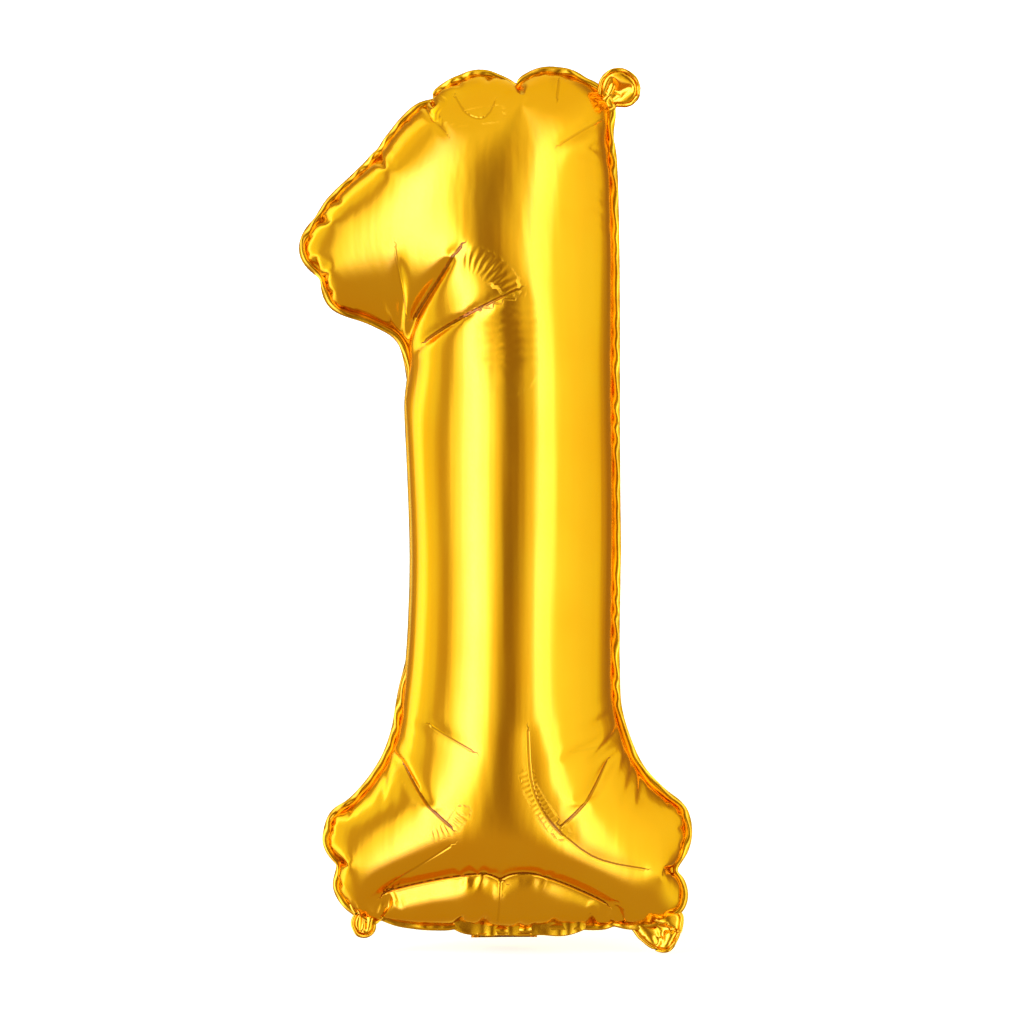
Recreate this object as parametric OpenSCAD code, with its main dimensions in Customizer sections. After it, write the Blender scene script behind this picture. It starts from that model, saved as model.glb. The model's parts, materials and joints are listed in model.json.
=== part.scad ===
// Foil number balloon, the figure one.
// Two metallised film panels are welded together around their edge and blown up with air. The weld
// stands out as a thin flange, and the flat pattern's corners are left outside the air as small ears.
// A self-closing valve of two clear film leaves sits behind the bottom seam, and the filling tail
// outside it folds about the seam. X runs to the right, Y to the back and Z up. The film panels meet
// at Y = 0, and the origin is under the middle of the figure, at the height of its lowest ear.

/* [Figure] */
// Width of the upright between its seams
stem_w = 79; // [70:1:86]
// Middle of the upright, to the right of the figure's middle
stem_x = 7; // [4:1:9]
// Width of the foot between its seams, at its widest
foot_w = 140; // [132:1:150]
// Middle of the foot, to the right of the figure's middle
foot_x = 5; // [3:1:7]
// Height of the bottom seam above the lowest ear
foot_z = 10.5; // [9:0.5:12]
// Height where the foot has narrowed to the upright
foot_top = 104; // [100:1:110]
// Height of the top seam
head_z = 344; // [340:1:346]
// How far the flag's tip stands out from the upright's left seam
flag_reach = 42.5; // [36:0.5:46]
// Height of the flag's tip
flag_z = 279; // [276:1:282]
// Height of the inner corner under the flag
flag_root_z = 240; // [234:1:242]

/* [Inflation] */
// Depth of one side of the filled balloon, from seam to crown
crown = 40; // [30:1:42]

/* [Film and seam] */
// Thickness of one film layer, thickened so that it can be made
film_t = 0.3; // [0.2:0.05:0.4]
// Width of the welded flange outside the air
flange_w = 3; // [2:0.5:4]
// Width of the weld that reaches inwards under the panels' edges
weld_in = 1.2; // [0.8:0.1:2]

/* [Ears] */
// Diameter of the round end of the top ear
top_ear_d = 15; // [12:1:17]
// Width of the right foot ear
right_ear_w = 21; // [16:1:24]
// Width of the left foot ear
left_ear_w = 11; // [8:1:14]

/* [Filling tail and valve] */
// Middle of the valve and tail, to the right of the figure's middle
valve_x = 3; // [0:1:8]
// Width of the tail
tail_w = 26; // [24:1:30]
// Length of the tail from its fold
tail_l = 35; // [30:1:36]
// Width of the weld along each side of the tail
tail_weld_w = 3; // [2:0.5:3]
// Radius of the filling hole that a straw goes through
inlet_r = 3.5; // [3:0.5:4]
// Distance from the tail's end to the middle of the filling hole
inlet_back = 9; // [8:1:10]
// Width of the valve's film leaves
valve_w = 19; // [14:1:20]
// Length of the valve's leaves inside the balloon
valve_l = 84; // [60:1:100]
// Gap between the two leaves with the valve shut
valve_gap = 0.4; // [0.3:0.1:0.6]

/* [Hidden] */

gold = [0.95, 0.70, 0.08];
pale_gold = [0.98, 0.80, 0.25];
dark_gold = [0.75, 0.48, 0.04];
clear_film = [0.85, 0.88, 0.9, 0.5];

// Seam lines of the figure.
stem_l = stem_x - stem_w / 2;
stem_r = stem_x + stem_w / 2;
foot_l = foot_x - foot_w / 2;
foot_r = foot_x + foot_w / 2;
tip_x = stem_l - flag_reach;
// Each side is a list of [height, x], from the bottom seam up. The foot's side is pinched at the
// middle of its height, and the flag's tip is blunt, with its underside slanting to the upright.
left_side = [
    [foot_z, foot_l + 13], [foot_z + 5, foot_l + 7.5], [26, foot_l + 3.5], [35, foot_l + 4],
    [45, foot_l], [52, foot_l + 2], [59, foot_l + 7.5], [68, foot_l + 15], [78, foot_l + 24.5],
    [87, stem_l - 4], [foot_top, stem_l - 1.5], [139, stem_l], [flag_root_z - 10, stem_l],
    [flag_root_z - 2, stem_l - 2], [flag_root_z + 4, stem_l - 5], [flag_root_z + 10, stem_l - 12],
    [flag_root_z + 16, tip_x + 10], [flag_z - 17, tip_x + 6], [flag_z - 8, tip_x + 3],
    [flag_z, tip_x], [288, tip_x + 6.5], [302, tip_x + 18], [316, tip_x + 31],
    [330, tip_x + 43], [head_z - 4.5, tip_x + 54], [head_z, tip_x + 64]];
right_side = [
    [foot_z, foot_r - 13], [foot_z + 5, foot_r - 6], [26, foot_r - 2], [35, foot_r - 4],
    [47, foot_r], [59, foot_r - 4], [63, foot_r - 9], [73, foot_r - 19], [82, stem_r + 3.5],
    [92, stem_r + 1], [foot_top, stem_r], [319, stem_r], [head_z - 9, stem_r - 1.5],
    [head_z - 4, stem_r - 8], [head_z, stem_r - 16]];

// The outline, as [x, z] points, up the left side and down the right.
outline = concat([for (s = left_side) [s[1], s[0]]],
    [for (k = [len(right_side) - 1:-1:0]) [right_side[k][1], right_side[k][0]]]);

// Heights of the panel's rows. They crowd towards the two end seams, where the film turns round.
end_rise = 34;
end_rows = 8;
flag_step = 5;
stem_step = 13;
foot_step = 7;
end_bend = [for (k = [0:end_rows]) end_rise * (1 - cos(90 * k / end_rows))];
low_rows = [for (e = end_bend) foot_z + e];
high_rows = [for (k = [end_rows:-1:0]) head_z - end_bend[k]];
row_z = concat(low_rows,
    [for (z = [foot_z + end_rise + foot_step:foot_step:foot_top - 1]) z],
    [for (z = [foot_top:stem_step:flag_root_z - 14]) z],
    [for (z = [flag_root_z - 6:flag_step:head_z - end_rise - 2]) z], high_rows);
// Columns across a row, crowded towards the two side seams in the same way.
cols = 16;
col_u = [for (k = [0:cols]) (1 - cos(180 * k / cols)) / 2];

// The outline's stretches, as [start, end] pairs.
edges = [for (k = [0:len(outline) - 1]) [outline[k], outline[(k + 1) % len(outline)]]];
function gap_to(p, e) =
    let (ab = e[1] - e[0], s = max(0, min(1, (p - e[0]) * ab / (ab * ab))))
    norm(p - e[0] - s * ab);
// The direction into the figure, square to a stretch of the outline.
function inward(e) = let (ab = e[1] - e[0]) [ab[1], -ab[0]] / norm(ab);

// A panel's outer skin, as rows of [x, y, z] points. The film turns a quarter circle from the seam to
// a level crown.
function rise(gap) = let (g = min(gap, crown)) sqrt(g * (2 * crown - g));
outer_skin = [for (z = row_z)
    let (xl = lookup(z, left_side), xr = lookup(z, right_side), end = z == foot_z || z == head_z)
    [for (u = col_u)
        let (x = xl + (xr - xl) * u, on_seam = end || u == 0 || u == 1)
        [x, -film_t - (on_seam ? 0 : rise(min([for (e = edges) gap_to([x, z], e)]))), z]]];
// The inner skin lies one film thickness inside. On the seam it moves in the seam plane, and
// elsewhere square to the outer skin.
function seam_step(p) =
    let (gaps = [for (e = edges) gap_to(p, e)], n = inward(edges[search(min(gaps), gaps)[0]]))
    film_t * [n[0], 0, n[1]];
function skin_step(r, c) =
    let (across = outer_skin[r][c + 1] - outer_skin[r][c - 1],
        along = outer_skin[r + 1][c] - outer_skin[r - 1][c],
        n = cross(along, across))
    film_t * n / norm(n);
inner_skin = [for (r = [0:len(row_z) - 1])
    [for (c = [0:cols])
        let (p = outer_skin[r][c], on_seam = r == 0 || r == len(row_z) - 1 || c == 0 || c == cols)
        p + (on_seam ? seam_step([p[0], p[2]]) : skin_step(r, c))]];

rows = len(row_z);
wide = cols + 1;
count = rows * wide;
// Two triangles for each cell of a skin, split along the diagonal that stands further out, so that
// the panel has no dents.
function cell(a, b, c, d) = [[a, b, c], [a, c, d]];
depth = [for (row = outer_skin) for (p = row) -p[1]];
function split(a, b, c, d) =
    depth[a % count] + depth[c % count] >= depth[b % count] + depth[d % count]
        ? cell(a, b, c, d) : cell(b, c, d, a);
function skin_faces(start, turn) =
    [for (r = [0:rows - 2], c = [0:cols - 1])
        let (a = start + r * wide + c, q = [a, a + 1, a + 1 + wide, a + wide])
        for (f = turn ? split(q[3], q[2], q[1], q[0]) : split(q[0], q[1], q[2], q[3])) f];
rim = concat([for (c = [0:cols - 1]) c], [for (r = [0:rows - 2]) r * wide + cols],
    [for (c = [cols:-1:1]) (rows - 1) * wide + c], [for (r = [rows - 1:-1:1]) r * wide]);
rim_faces = [for (k = [0:len(rim) - 1])
    let (a = rim[k], b = rim[(k + 1) % len(rim)])
    for (f = cell(a, b, b + count, a + count)) f];

module blown_panel() {
    polyhedron(points = [for (skin = [outer_skin, inner_skin]) for (row = skin) for (p = row) p],
        faces = concat(rim_faces, skin_faces(count, false), skin_faces(0, true)), convexity = 8);
}

// A flat piece in the seam plane, cut from a shape drawn in X and Z, and as thick as two layers.
module in_seam() {
    rotate([90, 0, 0]) linear_extrude(2 * film_t, center = true) children();
}

module flange_shape() {
    offset(r = flange_w, $fn = 24) polygon(outline);
}

// The tail's fold line lies just under the bottom flange.
fold_z = foot_z - flange_w - 1;
// The tail starts this far from its fold line, so that it can turn clear of the flange.
fold_gap = 2 * film_t;
neck_w = valve_w + 3;
corner_cut = 3;

module front_foil_panel() {
    color(gold) blown_panel();
}

module rear_foil_panel() {
    color(gold) mirror([0, 1, 0]) blown_panel();
}

module seam_flange() {
    color(dark_gold) in_seam() difference() {
        flange_shape();
        offset(delta = -weld_in) polygon(outline);
        translate([valve_x - neck_w / 2, 0]) square([neck_w, foot_z + weld_in + 1]);
    }
}

// The top ear is a round flap on a narrow neck, above the head's right corner.
top_ear_x = stem_r + 0.2;
top_ear_z = head_z + 5.6 - top_ear_d / 2;
module top_ear() {
    color(pale_gold) in_seam() difference() {
        hull() {
            translate([top_ear_x + 1, top_ear_z]) circle(d = top_ear_d, $fn = 28);
            translate([top_ear_x - 3, top_ear_z + 2]) circle(d = top_ear_d - 5, $fn = 24);
            translate([stem_r - 5, head_z - 14]) circle(d = 5, $fn = 16);
        }
        flange_shape();
        polygon(outline);
    }
}

// The foot's ears hang from the flange at its two lower corners. The right one is the lowest point.
module foot_ear(x, low, w) {
    in_seam() difference() {
        hull() {
            for (side = [-1, 1]) translate([x + side * (w / 2 - 4), low + 4]) circle(r = 4, $fn = 24);
            translate([x - w / 2, foot_z + 2]) square([w, 3]);
        }
        flange_shape();
        polygon(outline);
    }
}

module foot_left_ear() {
    color(pale_gold) foot_ear(foot_l + 13.5, 5.5, left_ear_w);
}

module foot_right_ear() {
    color(pale_gold) foot_ear(foot_r - 12.5, 0, right_ear_w);
}

// The valve's films are welded through the bottom seam here, and this weld closes the flange's slot.
module valve_neck() {
    color(dark_gold) in_seam() translate([valve_x - neck_w / 2, foot_z - flange_w])
        square([neck_w, flange_w + weld_in]);
}

// One leaf of the valve, rising from the neck inside the balloon, with its free end rounded.
leaf_z = foot_z + weld_in + 0.5;
module leaf(side) {
    translate([valve_x, side * (valve_gap / 2 + film_t / 2), leaf_z])
        rotate([90, 0, 0]) linear_extrude(film_t, center = true) {
            translate([-valve_w / 2, 0]) square([valve_w, valve_l - valve_w / 2]);
            translate([0, valve_l - valve_w / 2]) circle(d = valve_w, $fn = 48);
        }
}

module valve_front_leaf() {
    color(clear_film) leaf(-1);
}

module valve_rear_leaf() {
    color(clear_film) leaf(1);
}

// One film of the tail, lying back along Y from the fold. level counts film layers from the middle.
module tail_film(level) {
    translate([valve_x, fold_gap, fold_z + (level - 0.5) * film_t]) linear_extrude(film_t)
        polygon([[-tail_w / 2, 0], [tail_w / 2, 0], [tail_w / 2, tail_l - fold_gap - corner_cut],
            [tail_w / 2 - corner_cut, tail_l - fold_gap], [corner_cut - tail_w / 2, tail_l - fold_gap],
            [-tail_w / 2, tail_l - fold_gap - corner_cut]]);
}

// With the tail hanging down this film faces the front, and its hole takes the straw.
module tail_front_foil() {
    color(gold) difference() {
        tail_film(-1);
        translate([valve_x, tail_l - inlet_back, fold_z - 3 * film_t])
            cylinder(h = 6 * film_t, r = inlet_r, $fn = 64);
    }
}

module tail_rear_foil() {
    color(gold) tail_film(1);
}

// The valve's films run through the tail, and their mouth ends just short of the filling hole.
mouth_l = tail_l - inlet_back - inlet_r - 2 - fold_gap;
module tail_valve_mouth() {
    color(clear_film) translate([valve_x - valve_w / 2, fold_gap, fold_z - film_t / 2])
        cube([valve_w, mouth_l, film_t]);
}

// The welds join the tail's two films along its sides, level with the valve's films.
module tail_weld(side) {
    weld_x = valve_x + side * (tail_w - tail_weld_w) / 2;
    translate([weld_x - tail_weld_w / 2, fold_gap, fold_z - film_t / 2])
        cube([tail_weld_w, tail_l - fold_gap - corner_cut, film_t]);
}

module tail_left_weld() {
    color(dark_gold) tail_weld(-1);
}

module tail_right_weld() {
    color(dark_gold) tail_weld(1);
}

front_foil_panel();
rear_foil_panel();
seam_flange();
top_ear();
foot_left_ear();
foot_right_ear();
valve_neck();
valve_front_leaf();
valve_rear_leaf();
tail_front_foil();
tail_rear_foil();
tail_valve_mouth();
tail_left_weld();
tail_right_weld();
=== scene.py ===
"""Looks of a foil number balloon, the figure one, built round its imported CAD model.

The film is simulated: a flat pattern of two panels, welded round the edge, is blown up with its
edge lengths kept, so that its tubes, pinched seams and creases come from the pattern. The solver
works in millimetres, and every mesh is made in metres.
"""
import json
import math

import bpy
import numpy as np
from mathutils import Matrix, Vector
from mathutils.geometry import delaunay_2d_cdt


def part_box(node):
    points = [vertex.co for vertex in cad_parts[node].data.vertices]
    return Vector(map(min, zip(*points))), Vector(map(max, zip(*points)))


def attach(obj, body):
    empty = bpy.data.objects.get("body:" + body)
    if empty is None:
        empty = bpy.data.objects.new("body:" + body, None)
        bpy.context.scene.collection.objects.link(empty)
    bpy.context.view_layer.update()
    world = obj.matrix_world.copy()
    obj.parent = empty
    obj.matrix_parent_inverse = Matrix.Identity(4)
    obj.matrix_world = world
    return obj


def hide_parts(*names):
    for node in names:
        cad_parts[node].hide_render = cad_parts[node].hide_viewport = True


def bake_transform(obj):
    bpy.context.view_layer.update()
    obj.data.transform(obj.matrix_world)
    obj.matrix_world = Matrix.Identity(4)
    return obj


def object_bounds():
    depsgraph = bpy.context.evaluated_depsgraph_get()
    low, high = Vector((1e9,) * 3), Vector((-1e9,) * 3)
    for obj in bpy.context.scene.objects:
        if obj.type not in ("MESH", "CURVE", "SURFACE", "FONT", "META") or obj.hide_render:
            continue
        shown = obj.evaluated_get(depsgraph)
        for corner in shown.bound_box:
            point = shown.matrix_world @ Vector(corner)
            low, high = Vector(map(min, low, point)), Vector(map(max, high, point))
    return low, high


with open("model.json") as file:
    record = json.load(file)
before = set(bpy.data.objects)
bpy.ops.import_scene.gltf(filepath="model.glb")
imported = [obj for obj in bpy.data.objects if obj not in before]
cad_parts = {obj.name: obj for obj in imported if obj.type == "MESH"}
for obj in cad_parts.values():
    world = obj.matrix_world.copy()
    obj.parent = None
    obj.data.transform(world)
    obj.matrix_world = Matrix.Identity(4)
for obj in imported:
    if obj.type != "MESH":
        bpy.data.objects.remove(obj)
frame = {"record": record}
cad_low, cad_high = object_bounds()

MM = 0.001

# Flat pattern of the figure, as [x, z] in millimetres: up the left side and down the right. Its points
# were fitted, so that the blown seam follows the figure's outline, and rounded to whole millimetres.
PATTERN = [
    (-51, -4), (-61, 1), (-67, 7), (-71, 13), (-73, 20), (-75, 27), (-77, 33), (-77, 39), (-76, 46),
    (-72, 53), (-62, 78), (-59, 103), (-57, 149), (-58, 213), (-58, 238), (-68, 250), (-80, 262),
    (-84, 274), (-87, 287), (-84, 298), (-72, 315), (-58, 329), (-42, 344), (-24, 356), (-12, 360),
    (-3, 362), (7, 362), (19, 361), (30, 360), (40, 357), (48, 353), (56, 346), (61, 338), (68, 302),
    (71, 199), (72, 110), (73, 92), (78, 72), (84, 59), (89, 49), (90, 40), (89, 31), (87, 24),
    (86, 17), (85, 12), (82, 5), (72, -3), (56, -7), (23, -11), (3, -12), (-22, -10)]
COARSE_STEP = 3.0
# Push of the air in the solver's units, while the film is blown and while it takes its creases.
BLOW_PRESSURE = 0.0006
CREASE_PRESSURE = 0.0004
BLOW_STEPS, QUICK_BLOW_STEPS, CREASE_STEPS = 1000, 500, 350
# Places on the pattern where the weld is gathered, which pinches the seam there.
GATHERS = [(-61, 1), (-73, 20), (-84, 274), (-80, 305), (-24, 356), (7, 362), (48, 353), (87, 24),
           (72, -3)]
# How far round a gather the weld is shortened, and the share of its length that it keeps.
GATHER_REACH = 5
GATHER_SHARE = 0.8
WELD_WIDTH = 3.0
# How much higher than the CAD's smooth top seam the lobes between the gathers stand.
TOP_RISE = 2.5
# Stretches of the seam that stay nearly straight: the flag's upper edge, and the upright's right one.
STRAIGHT_SEAMS = [((-84, 298), (-27, 355)), ((71, 150), (62, 342))]
# How far into the film their straightening reaches, and the share of each end in which it fades.
IRON_REACH = 16
IRON_FADE = 0.08
# Where the film lies smooth beside the seam, down the upright's right edge from the top ear.
SMOOTH_FILM = [(50, 350), (60, 342), (68, 302), (71, 200), (72, 110)]
SMOOTH_REACH = 15
# Share of its stiffness that the weld keeps when it is pushed together, since it puckers.
WELD_GIVE = 0.15
# Share of its distance from the seam's plane that the weld keeps at each step of the solver.
WELD_FLATTEN = 0.97
# The panels' first bulge, as a share of the gap to the seam, and its unevenness in millimetres.
START_BULGE = 0.35
START_NOISE = 0.15

# Creases of the front film, as (strength, line on the flat pattern): round the inner corner under the
# flag, down both sides of the foot, along its buckled lower edge and under the top seam.
FRONT_CREASES = [
    (1.0, [(-45, 249), (-25, 264), (-12, 276)]), (1.0, [(-37, 239), (-11, 249), (9, 258)]),
    (0.5, [(-40, 280), (-43, 267), (-48, 251)]),
    (1.0, [(-46, 72), (-32, 61), (-16, 49)]), (0.7, [(-28, 88), (-8, 79)]),
    (0.9, [(52, 73), (40, 60), (27, 49)]), (0.4, [(33, 78), (50, 80)]),
    (0.9, [(14, 87), (15, 66), (21, 53), (27, 46)]),
    (1.8, [(-46, 11), (-25, 20), (-8, 25), (-2, 25), (3, 22)]),
    (1.8, [(3, 22), (8, 25), (17, 25), (30, 18), (46, 6)]), (0.5, [(3, 22), (2, 1)]),
    (0.35, [(-6, 250), (13, 252)]), (0.35, [(-5, 244), (14, 245)]),
    (0.35, [(-7, 237), (10, 238)]), (0.35, [(-4, 231), (9, 230)]),
    (0.3, [(-53, 64), (-50, 54)]), (0.3, [(-44, 60), (-42, 51)]), (0.3, [(62, 67), (68, 52)]),
    (0.6, [(-45, 14), (-35, 26), (-16, 41)]), (0.6, [(27, 46), (40, 34), (61, 28)]),
    (0.6, [(-11, 343), (-7, 331), (1, 327), (5, 336)]), (0.5, [(-22, 333), (-15, 323)]),
    (0.6, [(35, 349), (31, 337)]), (0.55, [(30, 316), (54, 332)])]
REAR_CREASES = [
    (1.0, [(-46, 249), (-27, 262), (-16, 272)]), (0.8, [(-38, 236), (-14, 243), (4, 252)]),
    (0.8, [(-48, 76), (-30, 66), (-20, 56)]), (0.8, [(54, 74), (38, 62), (26, 52)]),
    (0.8, [(-40, 8), (-15, 20), (10, 18), (40, 8)]), (0.4, [(12, 348), (9, 330)])]
# The wide valley over the buckled lower edge of the foot.
FRONT_VALLEY = (1.0, [(-50, 9), (-25, 21), (-8, 26), (3, 24), (17, 26), (32, 18), (50, 5)])
VALLEY_WIDTH = 4.5
# Combs of small folds that lie across a line, as (spacing, reach, line on the flat pattern): between
# the ends of the inner corner's creases, below them, and at the creases of the foot.
FRONT_COMBS = [
    (2.5, 6.0, [(-12, 272), (-5, 270), (2, 264), (6, 257)]), (3.6, 12.0, [(5, 252), (5, 228)]),
    (2.0, 3.5, [(13, 72), (16, 62), (22, 52), (27, 47)]), (2.0, 3.5, [(-24, 45), (-16, 48), (-11, 55)]),
    (2.6, 5.0, [(-20, 336), (-8, 329), (4, 330)])]
REAR_COMBS = [(2.4, 6.0, [(-16, 272), (-4, 268), (4, 254)]), (2.2, 4.0, [(-22, 54), (-14, 60)])]
# Inward pull at a crease, as a multiple of the air's push, and the distance over which it fades.
CREASE_PULL = 3.0
CREASE_WIDTH = 1.6
# The marks by which the material draws a sharp line end this far from it, after fading out.
MARK_REACH = 3.5
MARK_FADE = 1.5
# Half the width of a drawn crease line.
FOLD_WIDTH = 0.9


# ---------------------------------------------------------------- film solver, in millimetres

def spline_loop(points, step):
    """A closed, evenly curved line through the points, with a point about every step."""
    points = np.array(points, float)
    count = len(points)
    line = []
    for k in range(count):
        p0, p1, p2, p3 = points[k - 1], points[k], points[(k + 1) % count], points[(k + 2) % count]
        t0, t1, t2 = (math.sqrt(math.dist(a, b)) for a, b in ((p0, p1), (p1, p2), (p2, p3)))
        leave = p2 - p1 + t1 * ((p1 - p0) / t0 - (p2 - p0) / (t0 + t1))
        reach = p2 - p1 + t1 * ((p3 - p2) / t2 - (p3 - p1) / (t1 + t2))
        parts = max(1, round(math.dist(p1, p2) / step))
        for i in range(parts):
            t = i / parts
            line.append((2 * t**3 - 3 * t**2 + 1) * p1 + (t**3 - 2 * t**2 + t) * leave
                        + (3 * t**2 - 2 * t**3) * p2 + (t**3 - t**2) * reach)
    return np.array(line)


def gap_inside(points, loop):
    """Distance of each point to a closed loop, below zero where the point is outside it."""
    gap = np.full(len(points), 1e9)
    inside = np.zeros(len(points), bool)
    for a, b in zip(loop, np.roll(loop, -1, 0)):
        side = b - a
        share = np.clip((points - a) @ side / max(side @ side, 1e-9), 0, 1)
        gap = np.minimum(gap, np.linalg.norm(points - a - share[:, None] * side, axis=1))
        if a[1] != b[1]:
            crossing = a[0] + side[0] * (points[:, 1] - a[1]) / side[1]
            inside ^= ((a[1] > points[:, 1]) != (b[1] > points[:, 1])) & (points[:, 0] < crossing)
    return np.where(inside, gap, -gap)


def offset_loop(loop, distance):
    """The loop moved outwards by a distance."""
    before = loop - np.roll(loop, 1, 0)
    after = np.roll(loop, -1, 0) - loop
    ahead = np.roll(loop, -1, 0)
    turn = np.sign(np.sum(loop[:, 0] * ahead[:, 1] - ahead[:, 0] * loop[:, 1]))
    before /= np.linalg.norm(before, axis=1)[:, None]
    after /= np.linalg.norm(after, axis=1)[:, None]
    along = before + after
    along /= np.linalg.norm(along, axis=1)[:, None]
    miter = np.clip(np.sum(along * after, axis=1), 0.5, 1)[:, None]
    return loop + turn * np.stack([along[:, 1], -along[:, 0]], 1) * distance / miter


# How far the points inside a loop stay from it and from its hole, as a share of their spacing.
LOOP_GAP, HOLE_GAP = 0.6, 0.5


def fill_loop(loop, step, hole=None):
    """Points and triangles that fill a loop. The loop's own points come first, then the hole's."""
    low, high = loop.min(0), loop.max(0)
    rows = np.arange(low[1] + step / 2, high[1], step * math.sqrt(3) / 2)
    grid = []
    for k, z in enumerate(rows):
        x = np.arange(low[0] + (k % 2) * step / 2, high[0], step)
        grid.append(np.stack([x, np.full(len(x), z)], 1))
    grid = np.concatenate(grid)
    grid = grid[gap_inside(grid, loop) > LOOP_GAP * step]
    edges = [(k, (k + 1) % len(loop)) for k in range(len(loop))]
    points = [loop]
    if hole is not None:
        grid = grid[gap_inside(grid, hole) < -HOLE_GAP * step]
        start = len(loop)
        edges += [(start + k, start + (k + 1) % len(hole)) for k in range(len(hole))]
        points.append(hole)
    points = np.concatenate(points + [grid])
    made = delaunay_2d_cdt([Vector(p) for p in points], edges, [], 0, 1e-6)
    flat = np.array([tuple(p) for p in made[0]])
    cells = np.array(made[2])
    middle = flat[cells].mean(1)
    keep = gap_inside(middle, loop) > 0
    if hole is not None:
        keep &= gap_inside(middle, hole) < 0
    return flat, counter_clockwise(flat, cells[keep])


def gap_to_line(points, line):
    """Distance of each point to an open line, below zero on the line's right side."""
    gap = np.full(len(points), 1e9)
    for a, b in zip(np.array(line, float), np.array(line[1:], float)):
        side = b - a
        out = points - a
        share = np.clip(out @ side / (side @ side), 0, 1)
        here = np.linalg.norm(out - share[:, None] * side, axis=1)
        turn = np.where(side[0] * out[:, 1] < side[1] * out[:, 0], -1, 1)
        gap = np.where(here < abs(gap), here * turn, gap)
    return gap


def eased(line):
    """An open line with its corners rounded off."""
    line = np.array(line, float)
    for _ in range(2):
        near = 0.75 * line[:-1] + 0.25 * line[1:]
        far = 0.25 * line[:-1] + 0.75 * line[1:]
        cut = np.stack([near, far], 1).reshape(-1, 2)
        line = np.concatenate([line[:1], cut[1:-1], line[-1:]])
    return line


def fold_marks(points, creases):
    """Each point's gap to the nearest crease line, and how sharp that crease is close to the line."""
    gap = np.full(len(points), 1e9)
    strength = np.zeros(len(points))
    for share, line in creases:
        here = gap_to_line(points, eased(line))
        nearer = abs(here) < abs(gap)
        gap = np.where(nearer, here, gap)
        fade = np.clip((MARK_REACH - abs(here)) / MARK_FADE, 0, 1)
        # A weak crease is only a soft dent in the film, with no sharp line.
        sharp = np.clip(1.4 * share - 0.5, 0, 1) * fade
        strength = np.where(nearer, sharp, strength)
    return gap, strength


def comb_marks(points, combs):
    """Each point's phase in the nearest comb of small folds, in radians, and the strength of the comb."""
    phase = np.zeros(len(points))
    strength = np.zeros(len(points))
    for spacing, reach, line in combs:
        along, gap = place_on_line(points, eased(line))
        here = np.clip(1 - gap / reach, 0, 1)
        phase = np.where(here > strength, 2 * math.pi * along / spacing, phase)
        strength = np.maximum(here, strength)
    return phase, strength


def place_on_line(points, line):
    """How far along an open line each point's nearest place on it is, and the distance to that place."""
    along = np.zeros(len(points))
    gap = np.full(len(points), 1e9)
    start = 0
    for a, b in zip(line, line[1:]):
        side = b - a
        length = np.linalg.norm(side)
        share = np.clip((points - a) @ side / length**2, 0, 1)
        here = np.linalg.norm(points - a - share[:, None] * side, axis=1)
        along = np.where(here < gap, start + share * length, along)
        gap = np.minimum(here, gap)
        start += length
    return along, gap


def counter_clockwise(flat, cells):
    """The triangles, each with its corners in counter-clockwise order."""
    a, b, c = flat[cells[:, 0]], flat[cells[:, 1]], flat[cells[:, 2]]
    turned = (b[:, 0] - a[:, 0]) * (c[:, 1] - a[:, 1]) < (b[:, 1] - a[:, 1]) * (c[:, 0] - a[:, 0])
    return np.where(turned[:, None], cells[:, ::-1], cells)


def lists_by_key(keys, values, count, empty):
    """For each key below count, its values as a row of a table padded with empty, and their number."""
    order = np.argsort(keys, kind="stable")
    keys = keys[order]
    sizes = np.bincount(keys, minlength=count)
    starts = np.concatenate([[0], np.cumsum(sizes)[:-1]])
    table = np.full((count, sizes.max()), empty)
    table[keys, np.arange(len(keys)) - starts[keys]] = values[order]
    return table, sizes


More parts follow.
